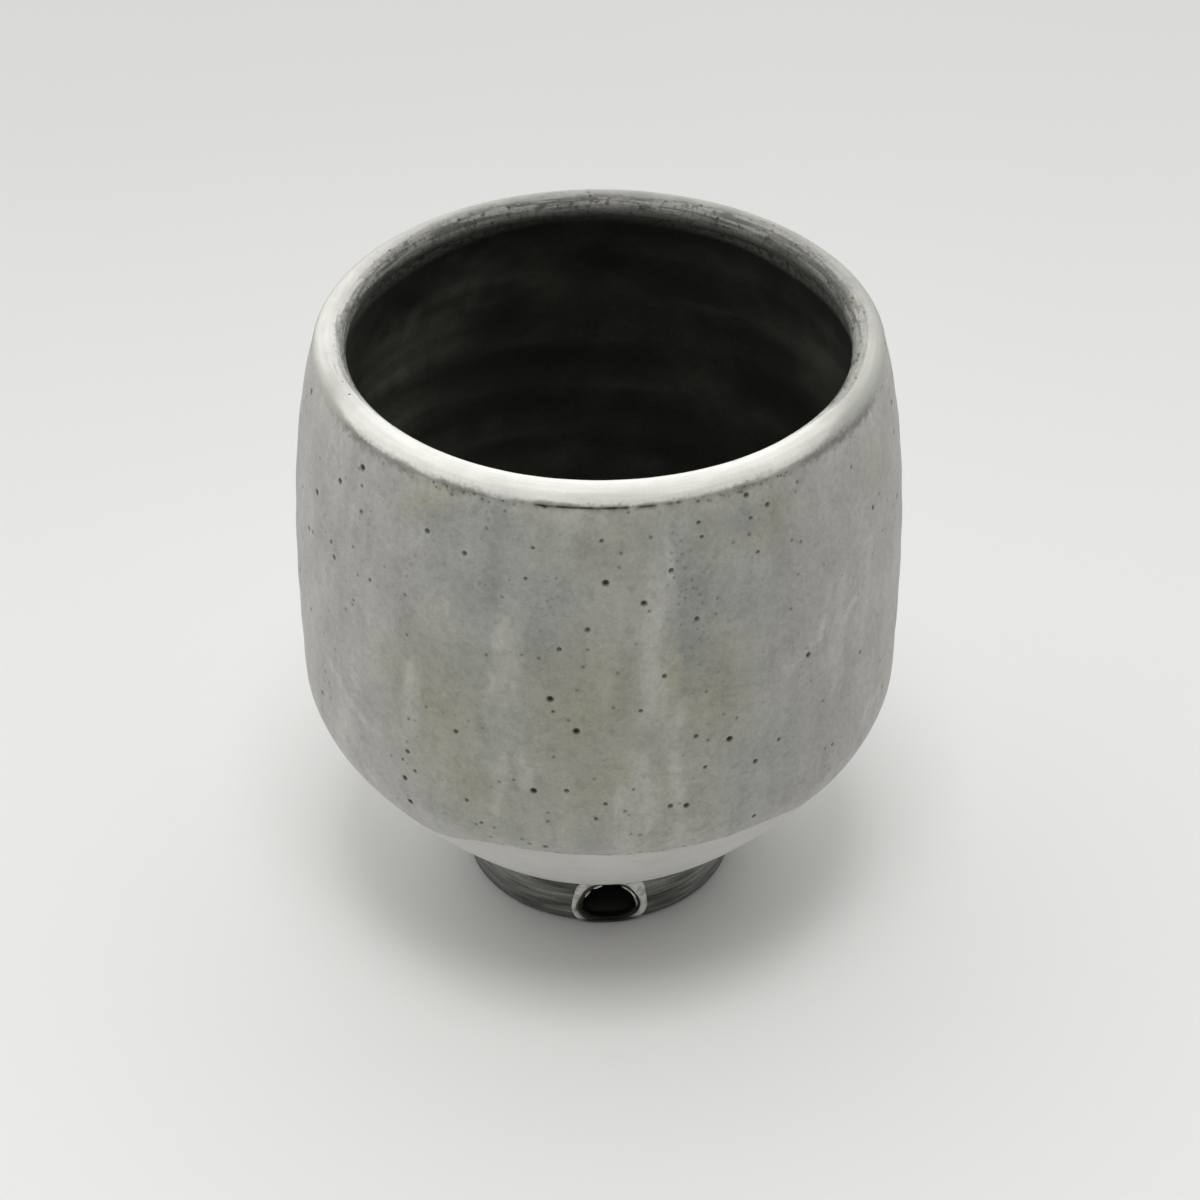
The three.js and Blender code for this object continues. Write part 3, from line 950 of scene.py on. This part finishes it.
def slip_finish():
    """Dry dark slip in the joint over the foot."""
    look = Finish("luting_slip_finish")
    grain = look.noise(0.5, 61, detail=4)
    look.base = look.blend(grain, "3a3833", "55524b")
    return look.finished(look.ramp(grain, 0.3, 0.7, 0.7, 0.85), (grain, 0.08))


def floor_finish():
    """A plain pale table top, with painted shade that makes it a little darker towards the back."""
    look = Finish("pale_floor_finish")
    cloud = look.noise(160, 71, detail=2)
    backward = look.add("SeparateXYZ", {0: look.place})[1]
    # Painted shade: the table's colour darkens from the front to the back
    look.base = look.blend(backward, "e4e4e2", "d3d3d1", TABLE_FRONT * MM, TABLE_BACK * MM)
    look.vary(cloud, 0.01)
    return look.finished(look.ramp(cloud, 0.3, 0.7, 0.7, 0.75), (cloud, 0.05), specular=0.2)


def make_wall():
    """The wall's grey glaze, with its pinholes, runs and clouds."""
    start = CLAY.outside_at_height(glaze_line(np.arange(COLUMNS) * 360 / COLUMNS))
    mesh = shell("wall_coat", start, CLAY.crease, WALL_STEP, wall_coat_thickness, crowding=WALL_CROWDING)
    core, halo = dig_pinholes(mesh)
    _, around, height = points_of(mesh)
    along = stored(mesh, "along")
    warm = smooth(*WARM_SPAN, np.abs(around)) * (0.75 + 0.5 * ring_clouds(around, height, 18, 15))
    olive = clouded(OLIVE_CLOUDS, around, height, 5)
    dark = np.maximum(clouded(DARK_CLOUDS, around, height, 8), dark_edge_at(around, height))
    paint(mesh, "glaze", pale_at(around, height), olive, dark, np.clip(warm, 0, 1))
    away = CLAY.crease - along
    specked = np.maximum(strongest(CREASE_SPECKS, around), CREASE_SPECKS_ELSEWHERE)
    paint(mesh, "seam", away, crease_line(around), crease_smear(around), specked)
    past_edge = along - CLAY.outside_at_height(glaze_line(around))
    paint(mesh, "pinholes", core, halo, pale_lines_at(around, height), past_edge)
    add_piece(mesh, "wall_glaze", wall_finish(), sharp=70)


def make_collar():
    """The pale slip on the cone, which runs on under the wall's glaze."""
    end = CLAY.outside_at_height(GLAZE_LINE + COLLAR_TUCK)
    mesh = shell("collar_coat", CLAY.joint, end, WALL_STEP, collar_coat_thickness)
    add_piece(mesh, "collar_slip", collar_finish())


def make_lip():
    """The white glaze over the lip."""
    mesh = shell("lip_coat", CLAY.crease, CLAY.inner_lip, LIP_STEP, lip_coat_thickness)
    around = points_of(mesh)[1]
    climb = stored(mesh, "along") - CLAY.crease
    white_front = 1 - smooth(*LIP_WHITE_SPAN, np.abs(turned_away(around, LIP_WHITE_MIDDLE)))
    white = np.maximum(white_front, strongest(LIP_WHITE_SIDES, around))
    paint(mesh, "lip", climb, crease_line(around), crease_smear(around), white)
    add_piece(mesh, "lip_glaze", lip_finish())


def make_liner():
    """The charcoal glaze on the inside, over the potter's finger marks."""
    mesh = shell("liner_coat", CLAY.inner_lip, CLAY.end, LINER_STEP, liner_coat_thickness, LINER_COLUMNS)
    _, around, height = points_of(mesh)
    depth = stored(mesh, "along") - CLAY.inner_lip
    # Lighter smudges, partly painted light on the left of the inside
    smudges_and_painted_light = clouded(LINER_SMUDGES_AND_PAINTED_LIGHT, around, height, 17)
    ridge = smooth(0.55, 1, np.sin(finger_turns(depth, around)))
    wear = LINER_WEAR_ALL + LINER_WEAR_BACK * behind(around) + strongest(LINER_WEAR_SIDES, around)
    paint(mesh, "liner", depth, smudges_and_painted_light, ridge, wear)
    add_piece(mesh, "liner_glaze", liner_finish())


def notch_outline(growth, drop):
    """The notch from the front: an arch that draws in at its legs and closes over a bridge."""
    wide, top, bottom = NOTCH_HALF_WIDTH + growth, NOTCH_TOP + growth, NOTCH_BRIDGE - drop
    middle = max(NOTCH_WIDEST_HEIGHT, bottom + 1)
    sideways, side = (wide * QUARTER_TURN, 0), (wide, middle)
    down, up = (0, -(middle - bottom) * QUARTER_TURN), (0, (top - middle) * QUARTER_TURN)
    half = np.vstack([bezier((0, bottom), sideways, down, side, NOTCH_LEG_STEPS),
                      bezier(side, up, sideways, (0, top), NOTCH_ARCH_STEPS)])
    return np.vstack([half, [(0, top)], half[:0:-1] * (-1, 1)])


def foot_radius(height):
    """The radius of the foot's outer wall at a height."""
    return FOOT_TOP_RADIUS - FOOT_TAPER * (1 - height / FOOT_TOP)


def turned_to_notch(points):
    """Points made with the notch at the front, turned to its place."""
    turn = math.radians(NOTCH_TURN)
    spin = np.array([[math.cos(turn), -math.sin(turn), 0], [math.sin(turn), math.cos(turn), 0], [0, 0, 1]])
    return points @ spin.T


def lofted(name, sections, closed_ends=True):
    """A closed mesh through rings of points, all with the same count."""
    rings, count = len(sections), len(sections[0])
    faces = ring_faces(rings, count)[:-count]
    if closed_ends:
        corners = list(range(rings * count))
        faces += [corners[:count][::-1], corners[-count:]]
    mesh = bpy.data.meshes.new(name)
    mesh.from_pydata((np.vstack(sections) * MM).tolist(), [], faces)
    weld(mesh)
    return mesh


def notch_cutter():
    """The space of the notch: its floor rises inwards, and it flares at the outer face."""
    front = foot_radius(NOTCH_WIDEST_HEIGHT)
    inner = foot_radius(0) - FOOT_WALL
    stations = [(NOTCH_CUT_START, 0, -NOTCH_FLOOR_RISE), (inner, 0, -NOTCH_FLOOR_RISE),
                (front - NOTCH_FLARE_DEPTH, 0, 0)]
    for turn in np.linspace(0.15, 1, NOTCH_FLARE_STEPS) * math.pi / 2:
        share = 1 - math.cos(turn)
        depth = front - NOTCH_FLARE_DEPTH * (1 - math.sin(turn))
        stations.append((depth, share, NOTCH_BRIDGE_FLARE * share))
    stations.append((front + NOTCH_CUT_PAST, 1, NOTCH_BRIDGE_FLARE))
    sections = []
    for depth, share, drop in stations:
        outline = notch_outline(NOTCH_FLARE * share, drop)
        flat = np.column_stack([outline[:, 0], np.full(len(outline), -depth), outline[:, 1]])
        sections.append(turned_to_notch(flat))
    return lofted("notch_cutter", sections)


def foot_profile():
    """The foot ring's section, from its inner top to its outer top."""
    bottom = foot_radius(0)
    inner = bottom - FOOT_WALL
    turn = np.linspace(0, math.pi / 2, FOOT_EDGE_STEPS)[:, None]
    inner_edge = (inner + FOOT_EDGE, FOOT_EDGE) - FOOT_EDGE * np.hstack([np.cos(turn), np.sin(turn)])
    outer_edge = (bottom - FOOT_EDGE, FOOT_EDGE) + FOOT_EDGE * np.hstack([np.sin(turn), -np.cos(turn)])
    return np.vstack([[(inner, FOOT_TOP)], inner_edge, outer_edge, [(FOOT_TOP_RADIUS, FOOT_TOP)]])


def cut_foot():
    """The foot ring with the notch cut through it, as an even fine mesh."""
    profile = foot_profile()
    sections = [ring_points(np.full(len(profile), degrees), *profile.T)
                for degrees in np.arange(FOOT_COLUMNS) * 360 / FOOT_COLUMNS]
    ring = placed("foot_clay", lofted("foot_turned", sections + sections[:1], closed_ends=False))
    cutter = placed("notch_cutter", notch_cutter())
    cut = ring.modifiers.new("notch", "BOOLEAN")
    cut.object = cutter
    cut.solver = "EXACT"
    remesh = ring.modifiers.new("even", "REMESH")
    remesh.mode = "VOXEL"
    remesh.voxel_size = FOOT_VOXEL * MM
    ring.modifiers.new("soften", "SMOOTH").iterations = FOOT_SOFTENING
    bpy.context.view_layer.update()
    mesh = bpy.data.meshes.new_from_object(ring.evaluated_get(bpy.context.evaluated_depsgraph_get()))
    bpy.data.objects.remove(ring)
    bpy.data.objects.remove(cutter)
    mesh.name = "foot_clay"
    mesh.shade_smooth()
    return mesh


def notch_part(around, radius, height):
    """1 in the notch and on its flare, 0 on the rest of the foot."""
    across = np.abs(np.radians(turned_away(around, NOTCH_TURN)) * radius) / (NOTCH_HALF_WIDTH + NOTCH_FLARE)
    above = (height - NOTCH_WIDEST_HEIGHT) / (NOTCH_TOP + NOTCH_FLARE - NOTCH_WIDEST_HEIGHT)
    below = (NOTCH_WIDEST_HEIGHT - height) / (NOTCH_WIDEST_HEIGHT - NOTCH_BRIDGE + NOTCH_BRIDGE_FLARE)
    return 1 - smooth(0.96, 1.04, np.hypot(across, np.maximum(above, below)))


def make_foot():
    """The foot ring, with turning lines outside, darker clay inside and in the notch, and painted shade there
    and along its bottom edge.
    """
    mesh = cut_foot()
    points, around, height = points_of(mesh)
    radius = np.hypot(points[:, 0], points[:, 1])
    inset = foot_radius(0) - radius
    lines = np.zeros(len(points))
    for spacing, drift, strength, seed in FOOT_LINES:
        lines += strength * clouds(np.column_stack([around * drift, around * 0, height]), spacing, seed)
    outer = 1 - smooth(0.3, 0.9, inset)
    points[:, :2] *= (1 + outer * FOOT_LINE_HEIGHT * lines / radius)[:, None]
    move_points(mesh, points)
    # Painted shade: a contact shadow along the bottom edge, and shade over the darker clay in the recess and
    # the notch
    low = 1 - smooth(0.2, FOOT_SHADOW_HEIGHT, height)
    paint(mesh, "dark_clay_and_painted_shade", smooth(0.9, 2.2, inset), notch_part(around, radius, height), low, 1)
    finish = clay_finish("foot_clay_finish", 0, "dark_clay_and_painted_shade")
    add_piece(mesh, "foot_ring", finish, sharp=80)


def smooth_path(points, steps, closed):
    """A curve through all the points, evenly stepped from point to point."""
    points = np.array(points, float)
    if closed:
        knots = np.vstack([points[-1:], points, points[:2]])
    else:
        knots = np.vstack([2 * points[0] - points[1], points, 2 * points[-1] - points[-2]])
    spans = len(knots) - 3
    place = np.linspace(0, spans, steps, endpoint=not closed)
    index = np.minimum(place.astype(int), spans - 1)
    t = (place - index)[:, None]
    before, start, end, after = (knots[index + k] for k in range(4))
    bend = 2 * before - 5 * start + 4 * end - after
    twist = 3 * start - before - 3 * end + after
    return 0.5 * (2 * start + (end - before) * t + bend * t ** 2 + twist * t ** 3)


def headings(path, closed):
    """The direction of a path at each of its points, seen from the front."""
    if closed:
        steps = np.roll(path[:, :2], -1, axis=0) - np.roll(path[:, :2], 1, axis=0)
    else:
        steps = np.gradient(path[:, :2], axis=0)
    return steps / np.linalg.norm(steps, axis=1)[:, None]


def swept_bead(name, path, sink, closed):
    """A flattened roll of glaze on the foot, along a path of side, height, width and rise."""
    turn = np.linspace(0, 2 * math.pi, BEAD_SIDES, endpoint=False)
    sections = []
    for (side, height, width, rise), (run, climb) in zip(path, headings(path, closed)):
        across = width / 2 * np.cos(turn)
        upward = np.clip(height + run * across, 0.02, FOOT_TOP)
        radius = foot_radius(upward) - sink
        sideways = np.degrees((side - climb * across) / radius)
        sections.append(turned_to_notch(ring_points(sideways, radius + rise * np.sin(turn), upward)))
    if closed:
        sections.append(sections[0])
    return lofted(name, sections, closed_ends=not closed)


def make_bead():
    """The bead of glaze round the notch and the flecks on its flare, as one mesh."""
    left = np.array(BEAD_HALF[-2:0:-1]) * (-1, 1, BEAD_LEFT_SHARE, 1)
    path = smooth_path([*BEAD_HALF, *left], BEAD_STEPS, closed=True)
    flat = np.column_stack([path[:, :2], path[:, 0] * 0])
    path[:, 2] *= 1 + 0.16 * clouds(flat, 1.6, 81)
    path[:, 3] *= 1 + 0.2 * clouds(flat, 1.3, 82)
    rolls = [swept_bead("bead_ring", path, 0, closed=True)]
    swell = np.sqrt(np.clip(1 - np.linspace(-1, 1, FLECK_STEPS) ** 2, 0.01, 1))
    for points in FLECKS:
        line = smooth_path(points, FLECK_STEPS, closed=False)
        fleck = np.column_stack([line, FLECK_WIDTH * swell, FLECK_RISE * swell])
        rolls.append(swept_bead("fleck", fleck, FLECK_SINK, closed=False))
    work = bmesh.new()
    for roll in rolls:
        work.from_mesh(roll)
        bpy.data.meshes.remove(roll)
    mesh = bpy.data.meshes.new("notch_bead")
    work.to_mesh(mesh)
    work.free()
    mesh.shade_smooth()
    # The bead's bottom is marked for painted shade
    low = 1 - smooth(0.5 * BEAD_SHADE_TOP, 1.3 * BEAD_SHADE_TOP, points_of(mesh)[2])
    paint(mesh, "bead", low, 0, 0, 1)
    add_piece(mesh, "notch_glaze", bead_finish())


def dress_solid(node, finish):
    """Gives a solid that stays in view its finish."""
    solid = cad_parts[node]
    solid.data.materials.clear()
    solid.data.materials.append(finish)


def add_camera():
    """The camera of the fitted view."""
    camera = placed("camera", bpy.data.cameras.new("camera"))
    camera.data.sensor_width = CAMERA_SENSOR
    camera.data.lens = CAMERA_LENS
    camera.data.clip_start = CAMERA_NEAR * MM
    camera.location = Vector(CAMERA_PLACE) * MM
    camera.rotation_euler = (math.radians(90 - CAMERA_TILT), 0, 0)
    bpy.context.scene.camera = camera


def add_lamp():
    """The soft square lamp over the cup."""
    lamp = placed("top_lamp", bpy.data.lights.new("top_lamp", "AREA"))
    lamp.data.shape = "SQUARE"
    lamp.data.size = LAMP_SIZE * MM
    lamp.data.energy = LAMP_POWER
    lamp.location = Vector(LAMP_PLACE) * MM
    lamp.rotation_euler = (Vector(LAMP_TARGET) - Vector(LAMP_PLACE)).to_track_quat("-Z", "Y").to_euler()


def add_sky():
    """A white sky whose level changes evenly from one side to the other."""
    world = bpy.data.worlds.new("studio")
    sky = Nodes(world)
    towards = sky.add("TexCoord", {})["Generated"]
    slope = sky.add("VectorMath", {0: towards, 1: SKY_SLOPE}, operation="DOT_PRODUCT")["Value"]
    level = sky.add("Math", {0: slope, 1: SKY_LEVEL}, operation="ADD")["Value"]
    sky.feed(sky.nodes["Background"], {"Color": (1, 1, 1, 1), "Strength": level})
    bpy.context.scene.world = world


def add_floor():
    """The pale table top that the cup stands on."""
    cells = TABLE_CELLS
    bpy.ops.mesh.primitive_grid_add(x_subdivisions=cells, y_subdivisions=cells, size=TABLE_SIZE * MM)
    floor = bpy.context.object
    floor.name = "floor"
    floor.data.materials.append(floor_finish())


add_back_marks()
make_wall()
make_collar()
make_lip()
make_liner()
make_foot()
make_bead()
dress_solid("bowl", clay_finish("bowl_clay_finish", 5))
dress_solid("luting_slip", slip_finish())
add_camera()
add_lamp()
add_sky()
add_floor()
bpy.context.scene.view_settings.view_transform = "Standard"
